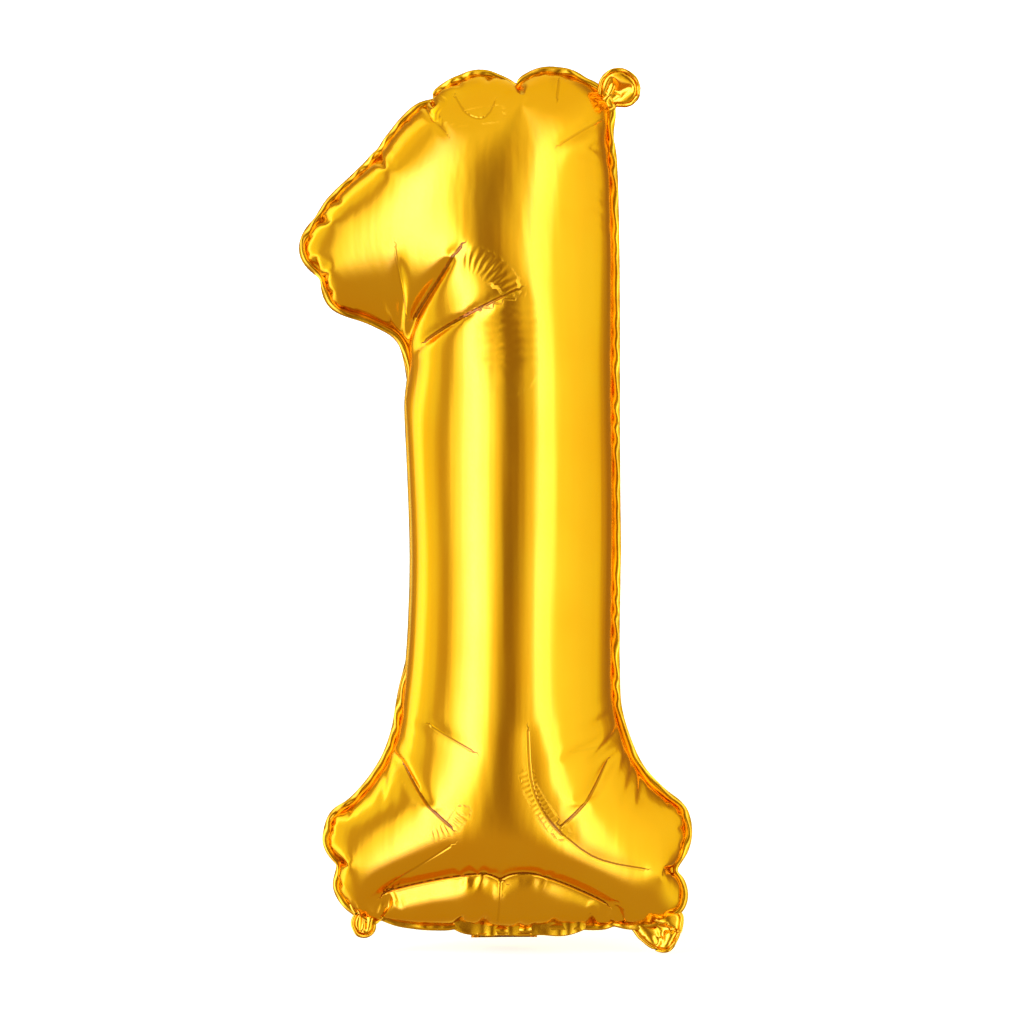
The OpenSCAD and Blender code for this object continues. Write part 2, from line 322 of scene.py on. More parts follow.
class Film:
    """Two film panels joined at their seam, with the weld outside it as a rim of its own."""

    def __init__(self, flat, place, front, rear, rim, on_seam, gathers):
        self.flat, self.place = flat, place
        self.front, self.rear, self.rim = front, rear, rim
        self.on_seam = on_seam
        self.gathers = gathers
        self.air = np.concatenate([front, rear])
        cells = np.concatenate([self.air, rim])
        sides = np.concatenate([cells[:, [0, 1]], cells[:, [1, 2]], cells[:, [2, 0]]])
        self.edges = np.unique(np.sort(sides, 1), axis=0)
        a, b = self.edges.T
        self.rest = np.linalg.norm(flat[a] - flat[b], axis=1)
        welded = np.zeros(len(flat), bool)
        welded[rim] = True
        middle = (flat[a] + flat[b]) / 2
        for point in gathers:
            near = np.linalg.norm(middle - np.array(point), axis=1) < GATHER_REACH
            self.rest[near & welded[a] & welded[b]] *= GATHER_SHARE
        self.welded = welded
        self.give = np.where(welded[a] & welded[b], WELD_GIVE, 1.0)
        self.groups = self.edge_groups()
        both = np.concatenate([self.edges, self.edges[:, ::-1]])
        self.near, near_count = lists_by_key(both[:, 0], both[:, 1], len(flat), len(flat))
        self.near_share = 1 / np.maximum(near_count, 1)[:, None]
        corners = self.air.T.reshape(-1)
        faces = np.tile(np.arange(len(self.air)), 3)
        self.faces_at, _ = lists_by_key(corners, faces, len(flat), len(self.air))
        self.lift = np.ones((len(flat), 1))

    def crease(self, cells, lines, width):
        """Turns the air's push inwards along lines on one panel, so that the film folds there."""
        panel = np.setdiff1d(cells, np.nonzero(self.welded)[0])
        for share, line in lines:
            gap = gap_to_line(self.flat[panel], eased(line))
            self.lift[panel, 0] -= CREASE_PULL * share * np.exp(-(gap / width)**2)

    def edge_groups(self):
        """Edges in groups in which no two edges share a point."""
        used = [0] * len(self.flat)
        group = np.zeros(len(self.edges), int)
        for k, (a, b) in enumerate(self.edges.tolist()):
            taken = used[a] | used[b]
            mark = ~taken & (taken + 1)
            used[a] |= mark
            used[b] |= mark
            group[k] = mark.bit_length()
        picks = [np.nonzero(group == g)[0] for g in np.unique(group)]
        return [(self.edges[p, 0], self.edges[p, 1], self.rest[p], self.give[p]) for p in picks]

    def bend(self, place):
        """How far each point is from the middle of its neighbours."""
        padded = np.concatenate([place, np.zeros((1, 3))])
        total = np.zeros_like(place)
        for column in self.near.T:
            total += padded[column]
        return total * self.near_share - place

    def push(self):
        """The push of the air on each point, from the faces round it."""
        a, b, c = (self.place[self.air[:, k]] for k in range(3))
        normal = np.zeros((len(self.air) + 1, 3))
        normal[:-1] = np.cross(b - a, c - a)
        total = np.zeros_like(self.place)
        for column in self.faces_at.T:
            total += normal[column]
        return total / 6

    def blow(self, steps, pressure, damping=0.97, stiffness=0.004, ramp=300):
        """Moves the film under the pressure, and puts every edge back to its length at each step."""
        speed = np.zeros_like(self.place)
        for k in range(steps):
            speed += self.push() * self.lift * (pressure * min(1, (k + 1) / ramp))
            speed *= damping
            before = self.place.copy()
            self.place = before + speed
            for a, b, rest, give in self.groups:
                way = self.place[b] - self.place[a]
                length = np.sqrt(way[:, 0]**2 + way[:, 1]**2 + way[:, 2]**2)
                share = (length - rest) / length * 0.5
                way *= np.where(share < 0, share * give, share)[:, None]
                self.place[a] += way
                self.place[b] -= way
            self.place -= stiffness * self.bend(self.bend(self.place))
            self.place[self.welded, 1] *= WELD_FLATTEN
            speed = self.place - before

    def refined(self):
        """The same film with each triangle split in four."""
        count = len(self.flat)
        keys = self.edges[:, 0] * count + self.edges[:, 1]
        a, b = self.edges.T

        def split(cells):
            """The four quarters of each triangle."""
            corners = [cells[:, k] for k in range(3)]
            middles = []
            for p, q in zip(corners, corners[1:] + corners[:1]):
                low, high = np.minimum(p, q), np.maximum(p, q)
                middles.append(count + np.searchsorted(keys, low * count + high))
            (p, q, r), (pq, qr, rp) = corners, middles
            quarters = [(p, pq, rp), (pq, q, qr), (rp, qr, r), (pq, qr, rp)]
            return np.concatenate([np.stack(c, 1) for c in quarters])

        # A new point stands a little off its edge, so that the finer film stays rounded.
        half = (self.place[a] + self.place[b]) / 2
        bulge = self.bend(self.place)
        half -= (bulge[a] + bulge[b]) / 8
        return Film(np.concatenate([self.flat, (self.flat[a] + self.flat[b]) / 2]),
                    np.concatenate([self.place, half]),
                    split(self.front), split(self.rear), split(self.rim),
                    np.concatenate([self.on_seam, self.on_seam[a] & self.on_seam[b]]),
                    self.gathers)

    def slack(self):
        """How much shorter the edges round each point are than at rest, as a share of their length."""
        a, b = self.edges.T
        length = np.linalg.norm(self.place[a] - self.place[b], axis=1)
        short = np.clip(1 - length / self.rest, 0, 0.3)
        total = np.bincount(a, short, len(self.flat)) + np.bincount(b, short, len(self.flat))
        return total * self.near_share[:, 0]


def flat_film(loop, step, rim_width, gathers, seed):
    """A film as it lies flat, its panels a little apart so that the air can part them."""
    flat, cells = fill_loop(loop, step)
    seam_count = len(loop)
    inner = np.arange(seam_count, len(flat))
    inside = np.arange(seam_count)
    outside = len(flat) + inside
    flat = np.concatenate([flat, offset_loop(loop, rim_width)])
    a, b, c, d = inside, np.roll(inside, -1), np.roll(outside, -1), outside
    rim = counter_clockwise(flat, np.concatenate([np.stack([a, b, c], 1), np.stack([a, c, d], 1)]))
    twin = np.arange(len(flat))
    twin[inner] = len(flat) + np.arange(len(inner))
    flat = np.concatenate([flat, flat[inner]])
    gap = np.maximum(gap_inside(flat, loop), 0)
    side = np.where(np.arange(len(flat)) >= twin[inner[0]], 1, -1)
    draw = np.random.RandomState(seed)
    depth = side * gap * START_BULGE + draw.uniform(-START_NOISE, START_NOISE, len(flat))
    depth[gap == 0] = 0
    place = np.stack([flat[:, 0], depth, flat[:, 1]], 1)
    on_seam = np.zeros(len(flat), bool)
    on_seam[:seam_count] = True
    return Film(flat, place, cells, twin[cells][:, ::-1], rim, on_seam, gathers)


# ---------------------------------------------------------------- materials

def new_material(name):
    """A material, its node tree's nodes and links, and its Principled node."""
    material = bpy.data.materials.new(name)
    material.use_nodes = True
    nodes, links = material.node_tree.nodes, material.node_tree.links
    return material, nodes, links, nodes["Principled BSDF"]


def noise_node(nodes, links, coord, scale, detail, stretch=(1, 1, 1)):
    """A noise in the object's own space, stretched along its axes."""
    mapping = nodes.new("ShaderNodeMapping")
    mapping.inputs["Scale"].default_value = stretch
    noise = nodes.new("ShaderNodeTexNoise")
    noise.inputs["Scale"].default_value = scale
    noise.inputs["Detail"].default_value = detail
    links.new(coord.outputs["Object"], mapping.inputs["Vector"])
    links.new(mapping.outputs["Vector"], noise.inputs["Vector"])
    return noise.outputs["Fac"]


def spread(nodes, links, value, low, high):
    """A noise's usual values carried to the range from low to high."""
    node = nodes.new("ShaderNodeMapRange")
    node.inputs["From Min"].default_value = 0.3
    node.inputs["From Max"].default_value = 0.7
    node.inputs["To Min"].default_value = low
    node.inputs["To Max"].default_value = high
    links.new(value, node.inputs["Value"])
    return node.outputs["Result"]


def two_tone(nodes, links, value, dark, light):
    """A colour between dark and light, by a value."""
    ramp = nodes.new("ShaderNodeValToRGB")
    ramp.color_ramp.elements[0].position = 0.35
    ramp.color_ramp.elements[0].color = (*dark, 1)
    ramp.color_ramp.elements[1].position = 0.65
    ramp.color_ramp.elements[1].color = (*light, 1)
    links.new(value, ramp.inputs["Fac"])
    return ramp.outputs["Color"]


def math_node(nodes, links, operation, *values):
    """The result of an operation on sockets and numbers."""
    node = nodes.new("ShaderNodeMath")
    node.operation = operation
    for value, socket in zip(values, node.inputs):
        if isinstance(value, (int, float)):
            socket.default_value = value
        else:
            links.new(value, socket)
    return node.outputs[0]


def point_mark(nodes, name):
    """The value that a piece's points are marked with under a name."""
    node = nodes.new("ShaderNodeAttribute")
    node.attribute_name = name
    return node.outputs["Fac"]


def bump_node(nodes, links, height, distance, strength=1.0):
    """A bump whose height is given by a socket and whose depth is a distance in metres."""
    bump = nodes.new("ShaderNodeBump")
    bump.inputs["Strength"].default_value = strength
    bump.inputs["Distance"].default_value = distance
    links.new(height, bump.inputs["Height"])
    return bump


def gold_film_material():
    """Metallised film, tinted gold: mirror-bright, faintly clouded, finely wrinkled where slack, with
    painted shade darkening its crease lines.
    """
    material, nodes, links, shader = new_material("gold_film")
    coord = nodes.new("ShaderNodeTexCoord")
    cloud = noise_node(nodes, links, coord, 22, 3)
    colour = two_tone(nodes, links, cloud, (1.0, 0.51, 0.020), (1.0, 0.56, 0.030))
    groove = fold_groove(nodes, links)
    # Along each crease the colour is mixed towards a deep brown by the groove's depth: painted shade in
    # the folds.
    crease_shade = nodes.new("ShaderNodeMixRGB")
    crease_shade.inputs["Color2"].default_value = (0.40, 0.14, 0.004, 1)
    links.new(groove, crease_shade.inputs["Fac"])
    links.new(colour, crease_shade.inputs["Color1"])
    links.new(crease_shade.outputs["Color"], shader.inputs["Base Color"])
    shader.inputs["Metallic"].default_value = 1
    shader.inputs["Specular Tint"].default_value = (1.0, 0.72, 0.15, 1)
    shader.inputs["Coat Weight"].default_value = 0.3
    shader.inputs["Coat Roughness"].default_value = 0.06
    smear = noise_node(nodes, links, coord, 60, 4, (1, 1, 0.25))
    links.new(spread(nodes, links, smear, 0.15, 0.22), shader.inputs["Roughness"])
    # Small wrinkles where the film is slack, a fine grain, and long upright streaks.
    ripple = noise_node(nodes, links, coord, 420, 2, (0.35, 1, 1))
    fine = noise_node(nodes, links, coord, 1500, 2)
    streak = noise_node(nodes, links, coord, 110, 2, (1, 1, 0.05))
    ripples = math_node(nodes, links, "MULTIPLY", ripple, point_mark(nodes, "slack"))
    wrinkles = math_node(nodes, links, "MULTIPLY", ripples, 6.0)
    grain = math_node(nodes, links, "MULTIPLY", fine, 0.05)
    streaks = math_node(nodes, links, "MULTIPLY", streak, 1.6)
    height = math_node(nodes, links, "ADD", wrinkles, math_node(nodes, links, "ADD", grain, streaks))
    bump = bump_node(nodes, links, height, distance=0.0004, strength=0.35)
    # Under them, the grooves of the creases and the combs of small folds.
    comb = comb_folds(nodes, links, noise_node(nodes, links, coord, 130, 1))
    ridges = math_node(nodes, links, "MULTIPLY", comb, 0.12)
    fold = bump_node(nodes, links, math_node(nodes, links, "ADD", groove, ridges), distance=0.0005)
    fold.invert = True
    links.new(fold.outputs["Normal"], bump.inputs["Normal"])
    links.new(bump.outputs["Normal"], shader.inputs["Normal"])
    return material


def fold_groove(nodes, links):
    """How deep a sharp groove is, from 0 to 1, along the lines that the film's points are marked with."""
    away = math_node(nodes, links, "ABSOLUTE", point_mark(nodes, "fold_gap"))
    depth = nodes.new("ShaderNodeMapRange")
    depth.interpolation_type = "SMOOTHERSTEP"
    depth.inputs["From Max"].default_value = FOLD_WIDTH
    depth.inputs["To Min"].default_value = 1
    depth.inputs["To Max"].default_value = 0
    links.new(away, depth.inputs["Value"])
    clamped = nodes.new("ShaderNodeClamp")
    strength = point_mark(nodes, "fold_strength")
    links.new(math_node(nodes, links, "MULTIPLY", depth.outputs["Result"], strength),
              clamped.inputs["Value"])
    return clamped.outputs["Result"]


def comb_folds(nodes, links, noise):
    """Rows of small folds where the film's points are marked with a comb, made uneven by a noise."""
    uneven = math_node(nodes, links, "MULTIPLY", noise, 5.0)
    phase = math_node(nodes, links, "ADD", point_mark(nodes, "comb_phase"), uneven)
    wave = math_node(nodes, links, "SINE", phase)
    return math_node(nodes, links, "MULTIPLY", wave, point_mark(nodes, "comb_strength"))


def gold_weld_material():
    """Two films melted together: a deeper gold, duller, crinkled, with a fine grain."""
    material, nodes, links, shader = new_material("gold_weld")
    coord = nodes.new("ShaderNodeTexCoord")
    cloud = noise_node(nodes, links, coord, 90, 3)
    colour = two_tone(nodes, links, cloud, (0.72, 0.36, 0.020), (1.0, 0.57, 0.035))
    links.new(colour, shader.inputs["Base Color"])
    shader.inputs["Metallic"].default_value = 1
    smear = noise_node(nodes, links, coord, 160, 3)
    links.new(spread(nodes, links, smear, 0.12, 0.28), shader.inputs["Roughness"])
    fine = noise_node(nodes, links, coord, 900, 1)
    crinkle = noise_node(nodes, links, coord, 260, 3)
    grain = math_node(nodes, links, "MULTIPLY", fine, 0.2)
    height = math_node(nodes, links, "ADD", grain, crinkle)
    bump = bump_node(nodes, links, height, distance=0.0003, strength=0.2)
    links.new(bump.outputs["Normal"], shader.inputs["Normal"])
    return material


def clear_film_material():
    """Thin clear film of the valve, faintly milky in patches."""
    material, nodes, links, shader = new_material("clear_film")
    coord = nodes.new("ShaderNodeTexCoord")
    cloud = noise_node(nodes, links, coord, 140, 3)
    colour = two_tone(nodes, links, cloud, (0.78, 0.82, 0.84), (0.94, 0.96, 0.97))
    links.new(colour, shader.inputs["Base Color"])
    shader.inputs["Transmission Weight"].default_value = 0.85
    shader.inputs["IOR"].default_value = 1.5
    links.new(spread(nodes, links, cloud, 0.08, 0.22), shader.inputs["Roughness"])
    crinkle = noise_node(nodes, links, coord, 500, 2)
    bump = bump_node(nodes, links, crinkle, distance=0.0003, strength=0.3)
    links.new(bump.outputs["Normal"], shader.inputs["Normal"])
    return material


def floor_material():
    """Matt pale studio floor, which glows a little so that it stays as light as the backdrop."""
    material, nodes, links, shader = new_material("studio_floor")
    coord = nodes.new("ShaderNodeTexCoord")
    cloud = noise_node(nodes, links, coord, 3, 2)
    links.new(two_tone(nodes, links, cloud, (0.93, 0.93, 0.92), (0.95, 0.95, 0.94)),
              shader.inputs["Base Color"])
    shader.inputs["Roughness"].default_value = 0.9
    shader.inputs["Emission Color"].default_value = (0.80, 0.88, 1.0, 1)
    shader.inputs["Emission Strength"].default_value = 0.75
    return material


MATERIALS = {"gold_film": gold_film_material(), "gold_weld": gold_weld_material(),
             "clear_film": clear_film_material()}


# ---------------------------------------------------------------- pieces

def make_piece(name, points, faces, slot, body, nodes=(), thickness=0.0, marks=None, levels=0):
    """A smooth piece from points in millimetres that rides on a body and stands for CAD nodes.

    Marks are values for the points, by name, that the material reads."""
    used, where = np.unique(faces, return_inverse=True)
    mesh = bpy.data.meshes.new(name)
    mesh.from_pydata((points[used] * MM).tolist(), [], where.reshape(faces.shape).tolist())
    mesh.polygons.foreach_set("use_smooth", [True] * len(mesh.polygons))
    for mark, values in (marks or {}).items():
        mesh.attributes.new(mark, "FLOAT", "POINT").data.foreach_set("value", values[used])
    mesh.materials.append(MATERIALS[slot])
    piece = bpy.data.objects.new(name, mesh)
    bpy.context.scene.collection.objects.link(piece)
    if levels:
        smooth = piece.modifiers.new("smooth", "SUBSURF")
        smooth.levels = levels
        smooth.render_levels = levels
    if thickness:
        sheet = piece.modifiers.new("thickness", "SOLIDIFY")
        sheet.thickness = thickness * MM
        sheet.offset = 0
    if nodes:
        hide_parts(*nodes)
    if body:
        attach(piece, body)
    return piece


def box_mm(node):
    """A CAD node's lowest and highest corner, in millimetres."""
    return [np.array(corner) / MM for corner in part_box(node)]


def iron_seam(film, start, end):
    """Evens out the seam between two places on the pattern, and draws the film beside it along."""
    way = np.array(end) - np.array(start)
    share = (film.flat - np.array(start)) @ way / (way @ way)
    beside = (share > 0) & (share < 1) & (abs(gap_to_line(film.flat, [start, end])) < IRON_REACH)
    seam = np.nonzero(film.on_seam & beside)[0]
    even = [np.polyval(np.polyfit(share[seam], film.place[seam, k], 4), share[seam])
            for k in range(3)]
    move = np.stack(even, 1) - film.place[seam]
    move *= np.clip(np.minimum(share[seam], 1 - share[seam]) / IRON_FADE, 0, 1)[:, None]
    near = np.nonzero(beside)[0]
    gaps = np.linalg.norm(film.flat[near][:, None] - film.flat[seam][None], axis=2)
    fade = np.where(film.welded[near], 1, np.clip(1 - gaps.min(1) / IRON_REACH, 0, 1)**2)
    film.place[near] += fade[:, None] * move[gaps.argmin(1)]


def smooth_film(film, line, reach, passes):
    """Takes the small wrinkles out of the film beside a line on the pattern.

    It works in full up to 0.3 of the reach from the line, and not at all past 1.3 of it."""
    fade = np.clip(1.3 - abs(gap_to_line(film.flat, line)) / reach, 0, 1)
    fade[film.on_seam] = 0
    fade[film.welded] = 0
    for _ in range(passes):
        film.place += 0.5 * fade[:, None] * film.bend(film.place)


def settle_rim(film, passes):
    """Evens out the seam line and the weld's free edge, each along itself."""
    rim = film.rim
    sides = np.sort(np.concatenate([rim[:, [0, 1]], rim[:, [1, 2]], rim[:, [2, 0]]]), 1)
    sides, uses = np.unique(sides, axis=0, return_counts=True)
    lines = sides[uses == 1]
    on_line = np.unique(lines)
    for _ in range(passes):
        middle = mean_of_neighbours(film.place, lines)
        film.place[on_line] = (film.place[on_line] + middle[on_line]) / 2
    inner = np.setdiff1d(rim, on_line)
    film.place[inner] = mean_of_neighbours(film.place, sides)[inner]


def mean_of_neighbours(place, sides):
    """For each point, the middle of the points that the given sides join it to."""
    total = np.zeros_like(place)
    count = np.zeros((len(place), 1))
    for a, b in (sides.T, sides.T[::-1]):
        np.add.at(total, a, place[b])
        np.add.at(count, a, 1)
    return total / np.maximum(count, 1)


def inflated_figure():
    """The simulated film of the whole figure, carried onto the CAD panels' box."""
    step = COARSE_STEP
    film = flat_film(spline_loop(PATTERN, step), step, WELD_WIDTH, GATHERS, seed=5)
    film.blow(BLOW_STEPS, pressure=BLOW_PRESSURE)
    film = film.refined()
    film.crease(film.front, FRONT_CREASES, CREASE_WIDTH)
    film.crease(film.rear, REAR_CREASES, CREASE_WIDTH)
    film.crease(film.front, [FRONT_VALLEY], VALLEY_WIDTH)
    film.blow(CREASE_STEPS, pressure=CREASE_PRESSURE, damping=0.95, ramp=1)
    for start, end in STRAIGHT_SEAMS:
        iron_seam(film, start, end)
    smooth_film(film, SMOOTH_FILM, SMOOTH_REACH, passes=25)
    settle_rim(film, passes=4)
    low, high = box_mm("front_foil_panel")
    high[2] += TOP_RISE
    seam = film.place[film.on_seam]
    for axis in (0, 2):
        scale = (high[axis] - low[axis]) / np.ptp(seam[:, axis])
        film.place[:, axis] = low[axis] + (film.place[:, axis] - seam[:, axis].min()) * scale
    return film


def ruffle_rim(film, height, length):
    """Waves the weld's free edge in and out of the seam plane, with a wave about every length."""
    free = np.setdiff1d(film.rim, np.nonzero(film.on_seam)[0])
    x, z = film.place[free, 0], film.place[free, 2]
    along = 2 * math.pi / length
    wave = np.sin(along * (0.8 * x + z) + 1.5 * np.sin(0.31 * along * (x - z)))
    film.place[free, 1] += height * wave * (0.6 + 0.4 * np.sin(0.23 * along * (x + 0.5 * z)))


# Heights between which the left rim leans back, the fades below and above them, and its angle.
LEAN_LOW, LEAN_HIGH = 95, 238
LEAN_FADE_LOW, LEAN_FADE_HIGH = 20, 12
LEAN_ANGLE = 75


def lean_rim(film):
    """Turns the rim back about the seam beside the upright's left edge, where it hugs the tube."""
    seam = film.place[film.on_seam]
    for k in np.unique(film.rim):
        if film.on_seam[k]:
            continue
        point = film.place[k]
        root = seam[np.argmin(np.sum((seam - point)**2, axis=1))]
        share = np.clip((point[2] - LEAN_LOW) / LEAN_FADE_LOW, 0, 1)
        share *= np.clip((LEAN_HIGH - point[2]) / LEAN_FADE_HIGH, 0, 1)
        if root[0] < 0 and share > 0:
            angle = math.radians(LEAN_ANGLE) * share
            out = point - root
            film.place[k] = root + [out[0] * math.cos(angle), out[1] + abs(out[0]) * math.sin(angle),
                                    out[2]]


def make_envelope():
    """The blown figure: its front film, its rear film and the weld round them."""
    film = inflated_figure()
    ruffle_rim(film, height=0.7, length=11.0)
    lean_rim(film)
    slack = film.slack()
    for name, faces, node, creases, combs in (
            ("front_film", film.front, "front_foil_panel", FRONT_CREASES, FRONT_COMBS),
            ("rear_film", film.rear, "rear_foil_panel", REAR_CREASES, REAR_COMBS)):
        gap, strength = fold_marks(film.flat, creases)
        phase, comb = comb_marks(film.flat, combs)
        make_piece(name, film.place, faces, "gold_film", "envelope", [node],
                   marks={"slack": slack, "fold_gap": gap, "fold_strength": strength,
                          "comb_phase": phase, "comb_strength": comb})
    make_piece("seam_weld", film.place, film.rim, "gold_weld", "envelope", ["seam_flange"],
               thickness=0.25)
    return film


def place_pillow(film, middle, tilt, turn):
    """Turns a pillow about X by tilt and about Z by turn, in degrees, and moves it to its place."""
    tilt, turn = math.radians(tilt), math.radians(turn)
    x, y, z = film.place.T
    y, z = y * math.cos(tilt) - z * math.sin(tilt), y * math.sin(tilt) + z * math.cos(tilt)
    x, y = x * math.cos(turn) - y * math.sin(turn), x * math.sin(turn) + y * math.cos(turn)
    film.place = np.stack([x, y, z], 1) + np.array(middle)


# Flat patterns of the ears' air pockets, as [x, z] about the ear's middle, and folds across them.
TOP_EAR = [(-10, -4), (-7, 3), (-3, 7), (2, 8), (7, 6), (10, 1), (9, -5), (5, -8), (-1, -8),
           (-6, -8)]
TOP_EAR_FOLDS = [[(-9, -2), (-3, 0), (1, 4)], [(-3, -6), (1, -2), (6, -1)]]
LEFT_EAR = [(-7, 9), (-7, 1), (-5, -4), (0, -6), (4, -4), (6, 0), (9, 7), (2, 10)]
LEFT_EAR_FOLDS = [[(-4, 7), (0, -3)]]
RIGHT_EAR = [(-13, 10), (-10, 2), (-6, -3), (0, -6), (7, -6), (10, -1), (11, 6), (9, 12), (-2, 13)]
RIGHT_EAR_FOLDS = [[(-8, 6), (2, 2), (10, 4)], [(2, -5), (3, 2)]]
EAR_STEP = 0.9
EAR_RIM = 1.6
# Share of its blown thickness that an ear keeps, since it holds little air.
EAR_FLATNESS = 0.6
EAR_PRESSURE = 0.002
# Strength and width of the folds across an ear.
EAR_FOLD = 1.5
EAR_FOLD_WIDTH = 1.0
# The top ear's middle, measured from the upper right corner of its CAD node's box, and how high above
# the bottoms of their own boxes the middles of the foot's ears are.
TOP_EAR_PLACE = (-9.5, -1.5, -9.0)
LEFT_EAR_RISE, RIGHT_EAR_RISE = 7.0, 6.2


def make_ear(name, node, outline, folds, middle, tilt, turn, seed):
    """A corner of the pattern that stays outside the figure: a small, crinkled, barely blown pocket."""
    film = flat_film(spline_loop(outline, EAR_STEP), EAR_STEP, EAR_RIM, [], seed)
    film.crease(film.front, [(EAR_FOLD, line) for line in folds], EAR_FOLD_WIDTH)
    film.crease(film.rear, [(EAR_FOLD, folds[0])], EAR_FOLD_WIDTH)
    film.blow(400, EAR_PRESSURE, stiffness=0.01, ramp=50)
    film.place[:, 1] *= EAR_FLATNESS
    ruffle_rim(film, height=0.5, length=7.0)
    place_pillow(film, middle, tilt, turn)
    faces = np.concatenate([film.front, film.rear])
    make_piece(name, film.place, faces, "gold_film", "envelope", [node],
               marks={"slack": film.slack()})
    make_piece(name + "_rim", film.place, film.rim, "gold_weld", "envelope", thickness=0.25)


def make_ears():
    """The three ears, each where its CAD node is."""
    _, high = box_mm("top_ear")
    make_ear("top_ear_pocket", "top_ear", TOP_EAR, TOP_EAR_FOLDS,
             high * [1, 0, 1] + TOP_EAR_PLACE, tilt=10, turn=-10, seed=11)
    low, high = box_mm("foot_left_ear")
    make_ear("left_ear_pocket", "foot_left_ear", LEFT_EAR, LEFT_EAR_FOLDS,
             [(low[0] + high[0]) / 2, 0, low[2] + LEFT_EAR_RISE], tilt=-10, turn=12, seed=12)
    low, high = box_mm("foot_right_ear")
    make_ear("right_ear_pocket", "foot_right_ear", RIGHT_EAR, RIGHT_EAR_FOLDS,
             [(low[0] + high[0]) / 2, 0, low[2] + RIGHT_EAR_RISE], tilt=-8, turn=-8, seed=13)


def grid_faces(rows, columns):
    """Triangles between the points of a grid, row by row."""
    k = np.arange((rows - 1) * columns).reshape(rows - 1, columns)[:, :-1].ravel()
    return np.concatenate([np.stack([k, k + 1, k + columns + 1], 1),
                           np.stack([k, k + columns + 1, k + columns], 1)])


def tail_sag(x, y):
    """Height of the tail's film above its flat place: a slight curl and a few soft waves."""
    _, high = box_mm("tail_rear_foil")
    share = np.clip(y / high[1], 0, 1)
    return share**2 * (0.5 * np.sin(x * 0.35 + 1.0) - 0.9 * share) + 0.12 * np.sin(y * 0.5 + x * 0.1)


def round_corner_box(low, high, radius, step):
    """A loop round a rectangle with its far corners rounded, as [x, y]."""
    corners = [(low[0], low[1]), (high[0], low[1])]
    for middle, start in (((high[0] - radius, high[1] - radius), 0),
                          ((low[0] + radius, high[1] - radius), 90)):
        for k in range(7):
            angle = math.radians(start + 15 * k)
            corners.append((middle[0] + radius * math.cos(angle), middle[1] + radius * math.sin(angle)))
    loop = []
    for a, b in zip(corners, corners[1:] + corners[:1]):
        parts = max(1, round(math.dist(a, b) / step))
        loop += [(a[0] + (b[0] - a[0]) * k / parts, a[1] + (b[1] - a[1]) * k / parts)
                 for k in range(parts)]
    return np.array(loop)


# How wrinkled the flat films of the tail look, and the film of its fold.
TAIL_SLACK = 0.05
FOLD_SLACK = 0.1


def make_tail_sheet(name, node, slot, thickness, hole=None, step=1.6, radius=3.0):
    """One flat piece of the tail, lying at its CAD node's height with the tail's curl."""
    low, high = box_mm(node)
    loop = round_corner_box(low, high, radius, step)
    flat, cells = fill_loop(loop, step, hole)
    z = (low[2] + high[2]) / 2 + tail_sag(flat[:, 0], flat[:, 1])
    points = np.stack([flat[:, 0], flat[:, 1], z], 1)
    return make_piece(name, points, cells, slot, "tail", [node], thickness,
                      {"slack": np.full(len(flat), TAIL_SLACK)})


def inlet_hole():
    """The filling hole's edge, as [x, y]."""
    mount = next(m for m in frame["record"]["mounts"] if m["name"] == "straw_inlet")
    x, y = mount["pos_m"][0] / MM, mount["pos_m"][1] / MM
    radius = mount["dims"]["r_mm"]
    return np.array([(x + radius * math.cos(a), y + radius * math.sin(a))
                     for a in np.linspace(0, 2 * math.pi, 32, endpoint=False)])


def make_tail():
    """The filling tail: two gold films, the valve's mouth between them and the side welds."""
    make_tail_sheet("tail_front_film", "tail_front_foil", "gold_film", 0.2, inlet_hole())
    make_tail_sheet("tail_rear_film", "tail_rear_foil", "gold_film", 0.2)
    make_tail_sheet("tail_valve_film", "tail_valve_mouth", "clear_film", 0.1, radius=1.0)
    make_tail_sheet("tail_left_seal", "tail_left_weld", "gold_weld", 0.2, step=1.0, radius=0.5)
    make_tail_sheet("tail_right_seal", "tail_right_weld", "gold_weld", 0.2, step=1.0, radius=0.5)


# Height above the CAD's neck to which the weld reaches, and how far the valve's leaves start below it.
VALVE_START = 4.0
VALVE_OVERLAP = 0.5
# How far the bottom weld reaches past the neck to the left and right, and the length of its tapers.
WELD_LEFT, WELD_RIGHT = 9, 21
WELD_TAPER = 9
# How far its lower edge hangs below the CAD's neck, and how far it rises from there at the ends.
WELD_DROP, WELD_RISE = 0.7, 2.6


def make_neck():
    """The wide weld in the bottom seam with the valve's neck."""
    low, high = box_mm("valve_neck")
    left, right = low[0] - WELD_LEFT, high[0] + WELD_RIGHT
    columns, rows = np.linspace(left, right, 70), np.linspace(0, 1, 7)
    x, share = (g.ravel() for g in np.meshgrid(columns, rows))
    # The band's lower edge is a little wavy, and rises into the seam's own weld towards both ends.
    taper = np.clip(np.minimum(x - left, right - x) / WELD_TAPER, 0, 1)
    bottom = low[2] - WELD_DROP + WELD_RISE * (1 - taper)**2 + 0.25 * np.sin(x * 0.45) * taper
    # It reaches up between the films, behind the seam's notches, to where the valve starts.
    z = bottom + (high[2] + VALVE_START - bottom) * share
    # It ripples to the front and the back, most at its lower edge.
    y = 0.35 * (1 - share) * np.sin(x * 0.62 + 1.3 * np.sin(x * 0.21))
    make_piece("neck_weld", np.stack([x, y, z], 1), grid_faces(len(rows), len(columns)), "gold_weld",
               "envelope", ["valve_neck"], thickness=0.35, levels=1)


